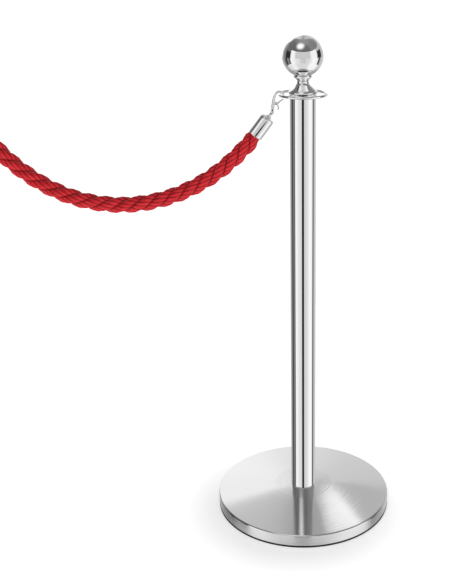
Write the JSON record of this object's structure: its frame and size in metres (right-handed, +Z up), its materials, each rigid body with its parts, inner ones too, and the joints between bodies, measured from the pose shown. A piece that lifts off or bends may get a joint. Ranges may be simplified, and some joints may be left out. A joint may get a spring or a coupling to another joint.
{
  "type": "rope stanchion",
  "caption": "Polished post on a weighted disc base, with a ball finial over a rope ring; a twisted red rope hangs from the ring by a snap hook and has another at its far end.",
  "frame": {"origin": "on the floor, under the centre of the post", "axes": "+Z up along the post; the rope leaves towards -X; -Y is the side the object is seen from"},
  "size_m": [0.8608, 0.3626, 1],
  "materials": {
    "weight_iron": "sand-cast and painted black, out of sight under the cover",
    "base_steel": "spun stainless cover, finely brushed in circles round the post, bright enough to reflect it",
    "polished_steel": "mirror-polished stainless or chrome plate",
    "floor_rubber": "matt black rubber edging",
    "hardware_steel": "zinc-plated steel",
    "rope_fibre": "red twisted rope of three strands, each of many soft lustrous yarns"
  },
  "bodies": {
    "post": {"base_weight": "weight_iron", "base_cover": "base_steel", "floor_ring": "floor_rubber", "base_washer": "hardware_steel", "base_bolt": "hardware_steel", "post_tube": "polished_steel", "tube_foot_plug": "hardware_steel", "tube_top_plug": "hardware_steel", "rope_ring": "polished_steel", "finial_bell": "polished_steel", "finial_collar": "polished_steel", "finial_ball": "polished_steel", "finial_stud": "hardware_steel"},
    "near_hook": {"near_hook": "polished_steel", "near_hook_rivet": "polished_steel", "near_gate_pin": "hardware_steel", "near_gate_spring": "hardware_steel"},
    "near_gate": {"near_gate": "polished_steel"},
    "rope": {"rope": "rope_fibre", "near_ferrule": "polished_steel", "near_rope_end": "rope_fibre", "near_grub_screw": "hardware_steel", "near_stud_nut": "hardware_steel", "near_eye_stud": "polished_steel", "far_ferrule": "polished_steel", "far_rope_end": "rope_fibre", "far_grub_screw": "hardware_steel", "far_stud_nut": "hardware_steel", "far_eye_stud": "polished_steel"},
    "far_hook": {"far_hook": "polished_steel", "far_hook_rivet": "polished_steel", "far_gate_pin": "hardware_steel", "far_gate_spring": "hardware_steel"},
    "far_gate": {"far_gate": "polished_steel"}
  },
  "joints": [
    {"name": "hook_slide", "type": "hinge", "parent": "post", "child": "near_hook", "pos_m": [0, 0, 0.8865], "axis": [0, 0, 1], "range_deg": [-35, 35]},
    {"name": "rope_tilt", "type": "hinge", "parent": "near_hook", "child": "rope", "pos_m": [-0.05945, 0, 0.85144], "axis": [0, 1, 0], "range_deg": [0, 25]},
    {"name": "near_gate_swing", "type": "hinge", "parent": "near_hook", "child": "near_gate", "pos_m": [-0.0495, 0, 0.868], "axis": [0, -1, 0], "range_deg": [0, 35], "stiffness_Nm_per_rad": 0.02, "springref_deg": -34.38},
    {"name": "far_hook_tilt", "type": "hinge", "parent": "rope", "child": "far_hook", "pos_m": [-0.65525, 0, 0.85144], "axis": [0, 1, 0], "range_deg": [-45, 45]},
    {"name": "far_gate_swing", "type": "hinge", "parent": "far_hook", "child": "far_gate", "pos_m": [-0.6652, 0, 0.868], "axis": [0, 1, 0], "range_deg": [0, 35], "stiffness_Nm_per_rad": 0.02, "springref_deg": -34.38}
  ]
}
